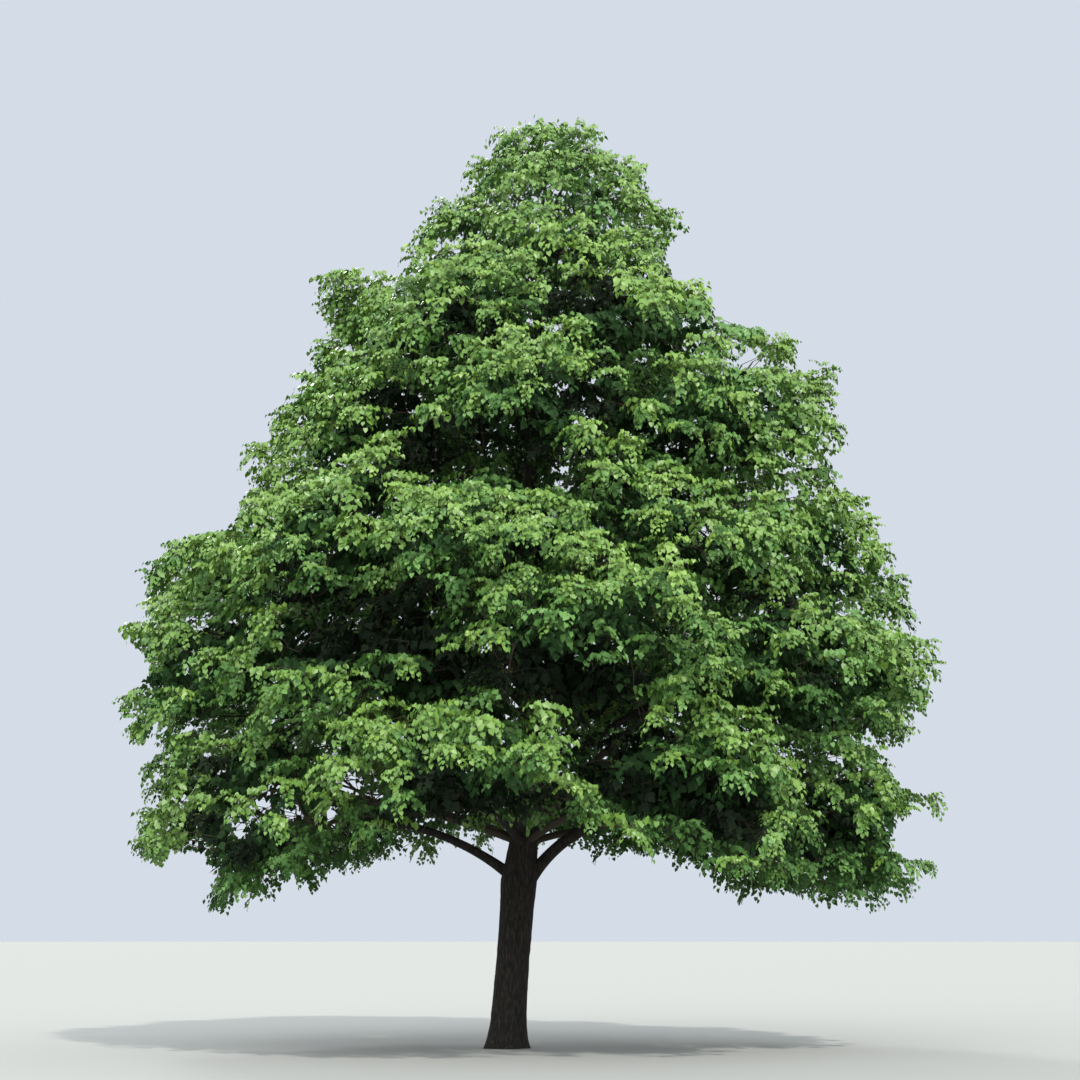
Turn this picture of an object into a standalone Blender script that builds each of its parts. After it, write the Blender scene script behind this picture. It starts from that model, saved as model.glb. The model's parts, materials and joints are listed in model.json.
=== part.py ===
"""Small-leaved linden tree, 14 m tall, standing on its own in open ground.

Metres, +Z up. The origin is on the ground, at the middle of the flat cut
under the trunk. The tree is one rooted body: a whole trunk that runs up
through the crown as a leader, main boughs, and masses of foliage in tiers
round a hollow core.
"""

import math

import bmesh
import bpy
import numpy as np

# ----------------------------------------------------------------------------
# named sizes
# ----------------------------------------------------------------------------
TREE_TOP = 14.0  # height of the topmost spray
GAP = 0.0003  # clearance between pieces that meet
SEAM = 0.03  # half of the cleft between neighbouring masses

# trunk
TRUNK_TIP_Z = 12.75
FORK_Z = 2.38
TRUNK_SEGMENTS = 16
FLARE_LOBES = 5
FLARE_HEIGHT = 0.26
FLARE_DEPTH = 0.20
#            z     radius
TRUNK_TAPER = (
    (0.00, 0.300),
    (0.10, 0.280),
    (0.30, 0.256),
    (0.70, 0.243),
    (1.30, 0.236),
    (1.90, 0.240),
    (2.38, 0.262),
    (2.70, 0.225),
    (3.10, 0.196),
    (4.20, 0.168),
    (5.60, 0.142),
    (7.20, 0.112),
    (8.80, 0.082),
    (10.4, 0.054),
    (11.8, 0.032),
    (TRUNK_TIP_Z, 0.016),
)
#            z     x      y
TRUNK_LINE = (
    (0.00, 0.000, 0.000),
    (1.20, 0.090, 0.010),
    (2.38, 0.175, 0.000),
    (3.10, 0.265, -0.030),
    (4.60, 0.330, -0.050),
    (6.60, 0.300, 0.030),
    (8.80, 0.390, 0.060),
    (11.0, 0.440, 0.000),
    (TRUNK_TIP_Z, 0.520, 0.000),
)

# crown outline: reach of the foliage from the upright through the origin
#           z     to -X  to +X
CROWN_REACH = (
    (1.90, 4.20, 5.20),
    (2.20, 4.70, 5.90),
    (2.45, 4.60, 6.15),
    (2.80, 5.30, 6.40),
    (3.05, 5.35, 5.85),
    (3.40, 5.10, 6.10),
    (3.75, 5.15, 6.30),
    (4.05, 5.20, 5.70),
    (4.50, 5.40, 5.90),
    (5.10, 5.65, 6.20),
    (5.55, 5.35, 6.30),
    (6.05, 5.65, 6.10),
    (7.00, 5.25, 5.75),
    (7.45, 4.85, 5.35),
    (7.75, 4.05, 5.15),
    (8.20, 3.60, 5.15),
    (9.20, 3.50, 4.90),
    (10.2, 2.90, 4.95),
    (10.6, 2.45, 4.25),
    (10.8, 2.50, 3.40),
    (11.4, 2.95, 2.95),
    (11.8, 1.85, 2.60),
    (12.3, 1.40, 2.45),
    (12.6, 1.30, 2.50),
    (13.1, 0.72, 2.15),
    (13.6, 0.42, 1.80),
    (13.9, 0.00, 0.80),
    (TREE_TOP, -0.35, 0.62),
)
QUARTER_DIP = 0.075  # the crown draws in a little between its sides and faces
SKIRT_SIDE = 2.00  # lowest foliage at the two sides
SKIRT_FRONT = 2.90
SKIRT_BACK = 3.05
SKIRT_INNER = 3.15  # underside of the foliage beside the trunk
SKIRT_INNER_REACH = 1.9
SKIRT_OUTER_REACH = 4.4

# tiers of foliage masses
# name, middle height, masses, azimuth of the first, half height, inner share
TIERS = (
    ("skirt", 3.35, 8, -97.5, 1.35, 0.32),
    ("lower", 5.35, 8, -118.0, 1.25, 0.31),
    ("middle", 7.05, 8, -93.0, 1.15, 0.28),
    ("waist", 8.75, 6, -85.0, 1.10, 0.24),
    ("upper", 10.35, 5, -108.0, 1.05, 0.18),
    ("shoulder", 11.75, 4, -70.0, 0.95, 0.06),
    ("crest", 12.80, 3, -65.0, 0.80, 0.03),
)
TOP_MASS_Z = 13.42
FLATNESS = 1.55  # how much lower than wide the cells of the masses are
DROOP = 0.22  # how far the outer end of a mass hangs, per metre
FULLNESS = 2.9  # 2 is an egg shape, more is fuller at the shoulders
UNDERSIDE = 0.86  # depth of the underside of a mass against its top

# recesses in the face of the crown: azimuth, height, radius, share of reach
RECESSES = (
    (-73, 10.05, 0.60, 0.95),
    (-99, 9.90, 0.42, 0.95),
    (-113, 8.65, 0.48, 0.97),
    (-102, 8.10, 0.46, 0.97),
    (-88, 7.85, 0.46, 0.97),
    (-74, 8.65, 0.45, 0.97),
    (-80, 7.45, 0.40, 0.98),
    (-113, 5.40, 0.66, 0.97),
    (-100, 5.50, 0.45, 0.98),
    (-95, 4.78, 0.42, 0.98),
    (-84, 4.72, 0.42, 0.98),
    (-76, 4.30, 0.52, 0.98),
    (-66, 3.30, 0.48, 0.96),
    (-51, 8.10, 0.40, 0.97),
    (-111, 7.15, 0.36, 0.98),
    (-51, 5.70, 0.36, 0.98),
    (-40, 4.20, 0.38, 0.98),
)
BACK_RECESSES = 14  # the same kind of recess, scattered round the far side

# sprays that stand out of the outline: x, y, z
TIPS = (
    (0.52, 0.00, TREE_TOP),
    (-0.36, -0.20, 13.62),
    (1.90, 0.10, 13.55),
    (2.60, -0.10, 12.40),
    (-1.35, 0.00, 12.75),
    (-3.02, 0.20, 11.45),
    (4.40, 0.10, 10.62),
    (5.02, 0.10, 9.95),
    (-3.10, -0.10, 9.90),
    (-3.78, 0.20, 8.25),
    (5.20, 0.10, 8.00),
    (-5.15, 0.10, 7.42),
    (5.90, -0.20, 6.55),
    (-5.80, -0.10, 6.03),
    (6.42, 0.20, 5.38),
    (-5.78, 0.20, 5.10),
    (6.43, -0.30, 3.83),
    (-5.52, -0.10, 2.92),
    (6.54, -0.20, 2.74),
    (-4.35, -0.60, 1.99),
    (5.30, 0.20, 2.02),
)

# boughs: tier, mass in the tier, radius at the trunk, height on the trunk,
# and how far out and how far up the turning point of its curve lies
BOUGHS = (
    ("skirt", 2, 0.094, 2.06, 0.30, 1.02),
    ("skirt", 6, 0.070, 2.36, 0.42, 0.80),
    ("skirt", 0, 0.062, 2.86, 0.42, 0.60),
    ("skirt", 4, 0.070, 2.66, 0.42, 0.60),
    ("lower", 0, 0.064, 3.40, 0.42, 0.55),
    ("lower", 2, 0.066, 3.62, 0.42, 0.55),
    ("lower", 4, 0.064, 3.50, 0.42, 0.55),
    ("lower", 6, 0.062, 3.82, 0.42, 0.55),
    ("middle", 1, 0.056, 5.00, 0.42, 0.55),
    ("middle", 4, 0.054, 5.15, 0.42, 0.55),
    ("middle", 6, 0.056, 4.85, 0.42, 0.55),
    ("waist", 1, 0.046, 6.70, 0.42, 0.55),
    ("waist", 4, 0.044, 6.90, 0.42, 0.55),
    ("upper", 1, 0.034, 8.60, 0.42, 0.55),
    ("upper", 3, 0.034, 8.80, 0.42, 0.55),
)
SKIRT_ENTRY = (2.45, 3.30)  # reach and height of a bough inside a skirt mass
BOUGH_SEGMENTS = 7
BOUGH_RINGS = 7

LEAF_GREEN = (0.095, 0.190, 0.045)
BARK_BROWN = (0.095, 0.078, 0.060)


# ----------------------------------------------------------------------------
# small helpers
# ----------------------------------------------------------------------------
def clear_scene():
    for ob in list(bpy.data.objects):
        bpy.data.objects.remove(ob, do_unlink=True)


def material(name, colour, roughness):
    mat = bpy.data.materials.new(name)
    mat.use_nodes = True
    shader = mat.node_tree.nodes["Principled BSDF"]
    shader.inputs["Base Color"].default_value = (*colour, 1.0)
    shader.inputs["Roughness"].default_value = roughness
    shader.inputs["Metallic"].default_value = 0.0
    return mat


def add_object(name, bm, location, mat, smooth):
    bmesh.ops.recalc_face_normals(bm, faces=bm.faces)
    mesh = bpy.data.meshes.new(name)
    bm.to_mesh(mesh)
    bm.free()
    mesh.materials.append(mat)
    for face in mesh.polygons:
        face.use_smooth = smooth
    ob = bpy.data.objects.new(name, mesh)
    ob.location = location
    bpy.context.scene.collection.objects.link(ob)
    return ob


def smoothstep(t):
    t = min(max(t, 0.0), 1.0)
    return t * t * (3.0 - 2.0 * t)


def column(table, i):
    return [row[i] for row in table]


# ----------------------------------------------------------------------------
# trunk
# ----------------------------------------------------------------------------
def trunk_axis(z):
    heights = column(TRUNK_LINE, 0)
    return np.array(
        [
            np.interp(z, heights, column(TRUNK_LINE, 1)),
            np.interp(z, heights, column(TRUNK_LINE, 2)),
            z,
        ]
    )


def trunk_radius(z):
    return float(np.interp(z, column(TRUNK_TAPER, 0), column(TRUNK_TAPER, 1)))


def trunk_ring(z, grow=0.0):
    """The section of the trunk at a height, with the lobes of the root flare
    low down and shallow flutes above them."""
    centre, radius = trunk_axis(z), trunk_radius(z)
    ring = []
    for i in range(TRUNK_SEGMENTS):
        a = 2.0 * math.pi * i / TRUNK_SEGMENTS
        lobe = 0.5 + 0.5 * math.cos(FLARE_LOBES * a + 0.7)
        flare = 1.0 + FLARE_DEPTH * lobe * math.exp(-z / FLARE_HEIGHT)
        flute = 1.0 + 0.025 * math.sin(3.0 * a + 0.8 * z) * (z < 4.0)
        r = radius * flare * flute + grow
        ring.append((centre[0] + r * math.cos(a), centre[1] + r * math.sin(a), z))
    return ring


def loft(rings, closed_ends=True):
    bm = bmesh.new()
    rows = [[bm.verts.new(p) for p in ring] for ring in rings]
    n = len(rows[0])
    for low, high in zip(rows[:-1], rows[1:]):
        for i in range(n):
            j = (i + 1) % n
            bm.faces.new((low[i], low[j], high[j]))
            bm.faces.new((low[i], high[j], high[i]))
    if closed_ends:
        bm.faces.new(list(reversed(rows[0])))
        bm.faces.new(rows[-1])
    return bm


def trunk_heights():
    return column(TRUNK_TAPER, 0)


def build_trunk(mat):
    return add_object(
        "trunk", loft([trunk_ring(z) for z in trunk_heights()]), (0, 0, 0), mat, True
    )


def trunk_cutter():
    """A very slightly swollen trunk, which shapes the root end of each bough."""
    rings = [trunk_ring(z, GAP * 1.3) for z in trunk_heights()]
    ob = add_object("trunk_cutter", loft(rings), (0, 0, 0), cutter_material(), False)
    hide(ob)
    return ob


def cutter_material():
    mat = bpy.data.materials.get("cutter")
    return mat or material("cutter", (0.5, 0.5, 0.5), 0.5)


def hide(ob):
    ob.hide_render = True
    ob.display_type = "WIRE"


# ----------------------------------------------------------------------------
# crown
# ----------------------------------------------------------------------------
def crown_reach(azimuth, z):
    """How far the foliage goes out from the upright through the origin."""
    heights = column(CROWN_REACH, 0)
    left = np.interp(z, heights, column(CROWN_REACH, 1))
    right = np.interp(z, heights, column(CROWN_REACH, 2))
    side = math.cos(azimuth)
    if z > 13.0:
        # near the top the crown is narrow and lies to one side of the origin
        mid, half = 0.5 * (right - left), 0.5 * (right + left)
        return mid * side + half
    w = 0.5 + 0.5 * side
    hollow = 1.0 - QUARTER_DIP * math.sin(2.0 * azimuth) ** 2
    return float((w * right + (1.0 - w) * left) * hollow)


def skirt_height(azimuth, reach):
    side = abs(math.cos(azimuth)) ** 1.4
    end = SKIRT_BACK if math.sin(azimuth) > 0 else SKIRT_FRONT
    outer = SKIRT_SIDE * side + end * (1.0 - side)
    t = (reach - SKIRT_INNER_REACH) / (SKIRT_OUTER_REACH - SKIRT_INNER_REACH)
    return SKIRT_INNER + (outer - SKIRT_INNER) * smoothstep(t)


def in_crown(p):
    x, y, z = p
    if z >= TREE_TOP or z <= SKIRT_SIDE - 0.02:
        return False
    azimuth, rho = math.atan2(y, x), math.hypot(x, y)
    if z > 13.0:
        heights = column(CROWN_REACH, 0)
        left = np.interp(z, heights, column(CROWN_REACH, 1))
        right = np.interp(z, heights, column(CROWN_REACH, 2))
        mid, half = 0.5 * (right - left), max(0.5 * (right + left), 0.02)
        return math.hypot(x - mid, y) < half
    return rho < crown_reach(azimuth, z) and z > skirt_height(azimuth, rho)


def mass_plan():
    """Name, tier, middle, half sizes and outward direction of every mass."""
    plan = []
    for tier, z, count, first, half, inner in TIERS:
        for i in range(count):
            rng = np.random.default_rng(int(z * 100) + 17 * i)
            az = math.radians(first + 360.0 * i / count + rng.uniform(-5, 5))
            zc = z + rng.uniform(-0.14, 0.14)
            if tier == "skirt":
                side = abs(math.cos(az)) ** 1.4
                zc = z - 0.25 * side + 0.22 * (1.0 - side)
            reach = crown_reach(az, min(zc, 12.9))
            out = np.array([math.cos(az), math.sin(az), 0.0])
            rho_in = inner * reach
            mid = 0.5 * (rho_in + reach) + 0.02 * reach
            axis = trunk_axis(zc)
            centre = np.array([0.0, 0.0, zc]) + out * mid
            if z > 11.0:
                centre = axis + out * (0.50 * reach)
            along = 0.64 * (reach - rho_in)
            across = max(1.22 * math.pi * mid / count, 0.9)
            plan.append(
                dict(
                    name=f"foliage_{tier}_{i + 1}",
                    tier=tier,
                    index=i,
                    centre=centre,
                    half=(along, min(across, 2.6), half),
                    out=out,
                    rho_in=rho_in,
                    seed=int(z * 100) * 31 + i,
                )
            )
    plan.append(
        dict(
            name="foliage_top",
            tier="top",
            index=0,
            centre=np.array([0.60, 0.0, TOP_MASS_Z]),
            half=(1.15, 1.05, 0.66),
            out=np.array([1.0, 0.0, 0.0]),
            rho_in=-9.0,
            seed=991,
        )
    )
    return plan


def recess_list():
    spots = list(RECESSES)
    rng = np.random.default_rng(52)
    for k in range(BACK_RECESSES):
        spots.append(
            (
                15.0 + 150.0 * ((k * 0.618) % 1.0),
                3.6 + 7.6 * (k + 0.5) / BACK_RECESSES,
                rng.uniform(0.36, 0.60),
                0.97,
            )
        )
    out = []
    for azimuth, z, radius, share in spots:
        a = math.radians(azimuth)
        r = crown_reach(a, z) * share
        out.append((np.array([r * math.cos(a), r * math.sin(a), z]), radius))
    return out


def geodesic():
    """Unit directions and triangles of an icosahedron with each edge in three."""
    bm = bmesh.new()
    bmesh.ops.create_icosphere(bm, subdivisions=1, radius=1.0)
    bmesh.ops.subdivide_edges(bm, edges=bm.edges[:], cuts=2, use_grid_fill=True)
    bmesh.ops.triangulate(bm, faces=bm.faces[:])
    bm.verts.ensure_lookup_table()
    dirs = np.array([v.co.normalized()[:] for v in bm.verts])
    bm.verts.index_update()
    tris = [[v.index for v in f.verts] for f in bm.faces]
    bm.free()
    return dirs, tris


def unevenness(dirs, seed, amount):
    """A smooth random swelling and shrinking over the directions."""
    rng = np.random.default_rng(seed)
    total = np.zeros(len(dirs))
    for k in range(7):
        v = rng.normal(size=3)
        v /= np.linalg.norm(v)
        f = rng.uniform(2.0, 6.5)
        total += np.sin(f * (dirs @ v) * 1.7 + rng.uniform(0, 6.28)) / (1.0 + 0.25 * f)
    total /= np.abs(total).max() + 1e-9
    return 1.0 + amount * total + rng.uniform(-0.03, 0.03, len(dirs))


def exit_distance(centre, d, limit):
    """How far a ray from the middle of a mass stays inside the crown."""
    step, r = 0.08, 0.0
    while r < limit:
        r += step
        if not in_crown(centre + d * r):
            low, high = r - step, r
            for _ in range(7):
                mid = 0.5 * (low + high)
                if in_crown(centre + d * mid):
                    low = mid
                else:
                    high = mid
            return low
    return limit


def cell_limit(me, others, d):
    """Distance to the nearest cleft between this mass and its neighbours."""
    squash = np.array([1.0, 1.0, FLATNESS])
    best = 1e9
    dd = d * squash
    for other in others:
        n = (other["centre"] - me["centre"]) * squash
        length2 = float(n @ n)
        toward = float(dd @ n)
        if toward <= 1e-9:
            continue
        own, its = me["half"][0], other["half"][0]
        share = 0.5 + 0.12 * (own - its) / (own + its)
        best = min(best, share * length2 / toward - SEAM * math.sqrt(length2) / toward)
    return best


def build_mass(me, plan, recesses, dirs, tris, tips, mat):
    c, out = me["centre"], me["out"]
    up = np.array([0.0, 0.0, 1.0])
    side = np.cross(up, out)
    # the long axis hangs a little towards its outer end
    radial = out - up * DROOP
    radial /= np.linalg.norm(radial)
    rise = np.cross(radial, side)
    basis = np.stack([radial, side, rise])
    a, b, h = me["half"]
    swell = unevenness(dirs, me["seed"], 0.17)
    others = [m for m in plan if m is not me]
    near = [
        m for m in others if np.linalg.norm(m["centre"] - c) < 9.0
    ]
    axis = trunk_axis(c[2])
    verts, limits = [], []
    for k, d in enumerate(dirs):
        local = np.abs(basis @ d)
        deep = h if float(rise @ d) > 0 else UNDERSIDE * h
        r = float(
            (local[0] / a) ** FULLNESS
            + (local[1] / b) ** FULLNESS
            + (local[2] / deep) ** FULLNESS
        ) ** (-1.0 / FULLNESS)
        r *= swell[k]
        r = min(r, exit_distance(c, d, r))
        r = min(r, cell_limit(me, near, d))
        # clear of the trunk and of the hollow round it
        wall = max(me["rho_in"], trunk_radius(max(c[2] - 1.2, 2.4)) + 0.10)
        toward = float(d @ -out)
        if toward > 1e-6 and me["tier"] != "top":
            r = min(r, (float((c - axis) @ out) - wall) / toward)
        if me["tier"] == "top" and d[2] < -1e-6:
            r = min(r, (c[2] - TRUNK_TIP_Z - 0.02) / -d[2])
        # recesses: a smooth dent round each spot
        for spot, radius in recesses:
            rel = spot - c
            along = float(rel @ d)
            if along > 0:
                miss = math.sqrt(max(float(rel @ rel) - along * along, 0.0))
                near_it = math.exp(-((miss / (1.35 * radius)) ** 2))
                if near_it > 0.12:
                    r = min(r, max(along - 1.25 * radius * near_it, 0.5))
        verts.append(d * max(r, 0.12))
    verts = np.array(verts)
    for tip in tips:
        rel = np.array(tip) - c
        length = np.linalg.norm(rel)
        k = int(np.argmax(dirs @ (rel / length)))
        verts[k] = rel
    bm = bmesh.new()
    made = [bm.verts.new(v) for v in verts]
    for t in tris:
        bm.faces.new([made[i] for i in t])
    return add_object(me["name"], bm, tuple(c), mat, False)


def slack(p, me, plan):
    """How far inside its own cell a point is; below zero it is in a cleft."""
    squash = np.array([1.0, 1.0, FLATNESS])
    rel, least = (p - me["centre"]) * squash, 1e9
    for other in plan:
        if other is me:
            continue
        n = (other["centre"] - me["centre"]) * squash
        own, its = me["half"][0], other["half"][0]
        share = 0.5 + 0.12 * (own - its) / (own + its)
        length = np.linalg.norm(n)
        least = min(least, share * length - SEAM - float(rel @ n) / length)
    return least


def owner_of(tip, plan):
    """The mass whose cell holds a tip, and the tip moved out of any cleft."""
    for shift in (0.0, -0.1, 0.1, -0.2, 0.2, -0.35, 0.35, -0.5, 0.5, -0.7, 0.7):
        p = np.array(tip) + np.array([0.0, shift, 0.0])
        found = [(slack(p, me, plan), me["name"]) for me in plan]
        room, name = max(found)
        if room > 0.0:
            return name, p
    return name, None


# ----------------------------------------------------------------------------
# boughs
# ----------------------------------------------------------------------------
def bough_path(start_z, target, out_share, rise, n):
    """Middle line of a bough, from inside the trunk to inside its mass."""
    p0 = trunk_axis(start_z)
    p2 = target
    flat = (p2 - p0) * np.array([1.0, 1.0, 0.0])
    reach = np.linalg.norm(flat)
    lift = rise * (p2[2] - p0[2]) + 0.06 * reach
    p1 = p0 + flat * out_share + np.array([0.0, 0.0, lift])
    ts = np.linspace(0.0, 1.0, n)[:, None]
    return (1 - ts) ** 2 * p0 + 2 * ts * (1 - ts) * p1 + ts**2 * p2


def bough_loft(path, r0, r1, seed):
    rng = np.random.default_rng(seed)
    rings = []
    for i, p in enumerate(path):
        t = i / (len(path) - 1)
        ahead = path[min(i + 1, len(path) - 1)] - path[max(i - 1, 0)]
        ahead /= np.linalg.norm(ahead)
        side = np.cross(ahead, [0.0, 0.0, 1.0])
        side /= np.linalg.norm(side)
        up = np.cross(side, ahead)
        # a collar where it leaves the trunk, then an even taper
        r = (r0 + (r1 - r0) * t) * (1.0 + 0.30 * math.exp(-t * 9.0))
        ring = []
        for k in range(BOUGH_SEGMENTS):
            a = 2.0 * math.pi * k / BOUGH_SEGMENTS + 0.2 * i
            rr = r * (1.0 + 0.05 * rng.uniform(-1, 1))
            ring.append(p + side * rr * math.cos(a) + up * rr * math.sin(a))
        rings.append(ring)
    return loft(rings)


def grown_copy(ob, scale, name):
    mesh = ob.data.copy()
    copy = bpy.data.objects.new(name, mesh)
    copy.location = ob.location
    copy.scale = (scale, scale, scale)
    bpy.context.scene.collection.objects.link(copy)
    hide(copy)
    return copy


def boolean(ob, cutter):
    mod = ob.modifiers.new("cut_" + cutter.name, "BOOLEAN")
    mod.operation = "DIFFERENCE"
    mod.solver = "EXACT"
    mod.object = cutter


def build_boughs(plan, masses, mat):
    cutter = trunk_cutter()
    sides = {}
    for number, row in enumerate(BOUGHS):
        tier, index, radius, start_z, out_share, rise = row
        me = next(m for m in plan if m["tier"] == tier and m["index"] == index)
        target = me["centre"] - me["out"] * 0.25 * me["half"][0]
        if tier == "skirt":
            target = me["out"] * SKIRT_ENTRY[0]
            target[2] = SKIRT_ENTRY[1]
        path = bough_path(start_z, target, out_share, rise, BOUGH_RINGS)
        name = f"bough_{tier}_{index + 1}"
        ob = add_object(
            name,
            bough_loft(path, radius, radius * 0.62, 300 + number),
            (0, 0, 0),
            mat,
            True,
        )
        boolean(ob, cutter)
        if me["name"] not in sides:
            sides[me["name"]] = grown_copy(
                masses[me["name"]], 1.0006, me["name"] + "_cutter"
            )
        boolean(ob, sides[me["name"]])


# ----------------------------------------------------------------------------
def main():
    clear_scene()
    leaf = material("foliage_green", LEAF_GREEN, 0.75)
    bark = material("bark", BARK_BROWN, 0.92)
    build_trunk(bark)
    plan = mass_plan()
    recesses = recess_list()
    dirs, tris = geodesic()
    tips = {}
    for tip in TIPS:
        name, place = owner_of(tip, plan)
        if place is not None:
            tips.setdefault(name, []).append(place)
    masses = {}
    for me in plan:
        masses[me["name"]] = build_mass(
            me, plan, recesses, dirs, tris, tips.get(me["name"], []), leaf
        )
    build_boughs(plan, masses, bark)


main()
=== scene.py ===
"""The looks of the small-leaved linden: bark with its relief, limbs and twigs that
branch on from the boughs, and leaves in drooping sprays, all in metres."""

import json
import math

import bpy
import numpy as np
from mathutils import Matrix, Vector
from mathutils.bvhtree import BVHTree

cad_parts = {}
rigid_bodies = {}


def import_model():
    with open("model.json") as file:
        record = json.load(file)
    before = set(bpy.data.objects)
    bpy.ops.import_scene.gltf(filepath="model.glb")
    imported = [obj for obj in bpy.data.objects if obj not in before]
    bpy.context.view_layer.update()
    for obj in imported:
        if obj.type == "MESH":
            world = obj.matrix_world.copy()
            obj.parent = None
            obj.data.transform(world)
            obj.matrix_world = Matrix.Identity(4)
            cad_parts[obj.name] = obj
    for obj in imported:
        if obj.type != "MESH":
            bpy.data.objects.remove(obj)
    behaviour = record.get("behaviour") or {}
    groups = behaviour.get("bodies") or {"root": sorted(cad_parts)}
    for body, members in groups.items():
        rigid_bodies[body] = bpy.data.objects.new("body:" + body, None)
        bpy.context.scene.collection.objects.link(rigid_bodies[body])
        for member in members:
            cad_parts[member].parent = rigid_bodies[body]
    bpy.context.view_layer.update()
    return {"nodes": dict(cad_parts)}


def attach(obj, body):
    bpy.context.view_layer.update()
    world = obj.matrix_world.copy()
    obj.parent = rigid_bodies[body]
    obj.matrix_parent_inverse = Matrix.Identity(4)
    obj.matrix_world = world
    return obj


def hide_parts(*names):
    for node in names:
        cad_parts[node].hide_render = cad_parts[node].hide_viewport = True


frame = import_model()

SEED = 4181
# ----------------------------------------------------------------------------
# the tree's own sizes, the same as those of its construction
# ----------------------------------------------------------------------------
TRUNK_TIP_Z = 12.75
TRUNK_TAPER = (
    (0.00, 0.300),
    (0.10, 0.280),
    (0.30, 0.256),
    (0.70, 0.243),
    (1.30, 0.236),
    (1.90, 0.240),
    (2.38, 0.262),
    (2.70, 0.225),
    (3.10, 0.196),
    (4.20, 0.168),
    (5.60, 0.142),
    (7.20, 0.112),
    (8.80, 0.082),
    (10.4, 0.054),
    (11.8, 0.032),
    (TRUNK_TIP_Z, 0.016),
)
TRUNK_LINE = (
    (0.00, 0.000, 0.000),
    (1.20, 0.090, 0.010),
    (2.38, 0.175, 0.000),
    (3.10, 0.265, -0.030),
    (4.60, 0.330, -0.050),
    (6.60, 0.300, 0.030),
    (8.80, 0.390, 0.060),
    (11.0, 0.440, 0.000),
    (TRUNK_TIP_Z, 0.520, 0.000),
)
FLARE_LOBES, FLARE_HEIGHT, FLARE_DEPTH = 5, 0.26, 0.20

# boughs: mass, radius at the trunk, height on the trunk, and how far out and
# how far up the turning point of the curve lies
BOUGHS = (
    ("skirt_3", 0.094, 2.06, 0.30, 1.02),
    ("skirt_7", 0.070, 2.36, 0.42, 0.80),
    ("skirt_1", 0.062, 2.86, 0.42, 0.60),
    ("skirt_5", 0.070, 2.66, 0.42, 0.60),
    ("lower_1", 0.064, 3.40, 0.42, 0.55),
    ("lower_3", 0.066, 3.62, 0.42, 0.55),
    ("lower_5", 0.064, 3.50, 0.42, 0.55),
    ("lower_7", 0.062, 3.82, 0.42, 0.55),
    ("middle_2", 0.056, 5.00, 0.42, 0.55),
    ("middle_5", 0.054, 5.15, 0.42, 0.55),
    ("middle_7", 0.056, 4.85, 0.42, 0.55),
    ("waist_2", 0.046, 6.70, 0.42, 0.55),
    ("waist_5", 0.044, 6.90, 0.42, 0.55),
    ("upper_2", 0.034, 8.60, 0.42, 0.55),
    ("upper_4", 0.034, 8.80, 0.42, 0.55),
)
SKIRT_ENTRY = (2.45, 3.30)

# recesses in the face of the crown, dark inside from their depth and from the painted shade of the leaves at their
# backs: x, y, z, half width and height
RECESSES = (
    (1.08, -3.02, 10.30, 0.44, 0.27),
    (-0.60, -3.13, 9.96, 0.30, 0.19),
    (-1.50, -2.41, 8.96, 0.29, 0.24),
    (-0.73, -3.24, 8.09, 0.60, 0.31),
    (0.05, -3.77, 8.10, 0.56, 0.28),
    (1.09, -3.55, 8.74, 0.40, 0.21),
    (0.84, -3.95, 7.65, 0.18, 0.14),
    (-2.20, -3.97, 5.54, 0.70, 0.48),
    (-1.04, -4.23, 5.65, 0.42, 0.36),
    (-0.59, -4.50, 4.91, 0.41, 0.24),
    (-0.01, -4.90, 4.87, 0.44, 0.25),
    (0.55, -4.90, 4.83, 0.40, 0.27),
    (1.11, -4.62, 4.60, 0.41, 0.32),
    (1.40, -4.32, 4.21, 0.38, 0.38),
    (1.25, -4.23, 3.77, 0.35, 0.29),
    (-0.36, -5.00, 3.05, 0.42, 0.32),
    (0.09, -4.84, 3.00, 0.43, 0.34),
    (0.55, -4.85, 3.07, 0.40, 0.32),
    (-0.71, -5.20, 3.44, 0.28, 0.17),
    (2.11, -4.37, 3.45, 0.27, 0.25),
    (2.94, -4.32, 3.01, 0.40, 0.26),
    (-4.17, -2.77, 2.86, 0.42, 0.34),
    (-3.42, -3.35, 2.70, 0.42, 0.32),
    (-3.82, -2.99, 3.80, 0.40, 0.16),
    (3.61, -3.63, 5.80, 0.23, 0.14),
    (3.99, -3.79, 5.49, 0.15, 0.14),
    (3.92, -3.69, 4.91, 0.17, 0.12),
    (0.25, -5.20, 6.34, 0.24, 0.11),
    (-1.45, -4.68, 6.98, 0.18, 0.12),
    (-1.77, -3.59, 7.51, 0.16, 0.14),
    (-2.66, -4.04, 4.39, 0.19, 0.13),
    (-2.92, -3.45, 4.06, 0.18, 0.14),
    (-2.75, -3.71, 6.24, 0.19, 0.12),
    (4.37, -2.25, 3.27, 0.20, 0.17),
    (4.57, -2.25, 2.98, 0.22, 0.14),
    (-1.14, -5.00, 2.88, 0.40, 0.14),
    (0.97, -5.20, 5.23, 0.20, 0.11),
    (0.18, -4.83, 4.31, 0.20, 0.13),
    (3.42, -2.74, 7.79, 0.22, 0.13),
    (2.42, -2.77, 8.29, 0.26, 0.17),
    (1.73, -5.10, 6.17, 0.20, 0.11),
)
# chinks right through the crown, on the sight line by y = 0: x, z, radius
CHINKS = (
    (-0.58, 2.91, 0.11),
    (0.63, 2.96, 0.11),
    (-2.30, 3.83, 0.11),
    (-3.57, 3.49, 0.11),
    (-3.10, 3.36, 0.09),
    (-2.59, 3.28, 0.09),
    (-1.93, 3.61, 0.09),
    (-3.90, 3.13, 0.09),
    (1.44, 4.12, 0.06),
    (1.70, 4.68, 0.06),
    (2.95, 7.55, 0.06),
)
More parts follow.
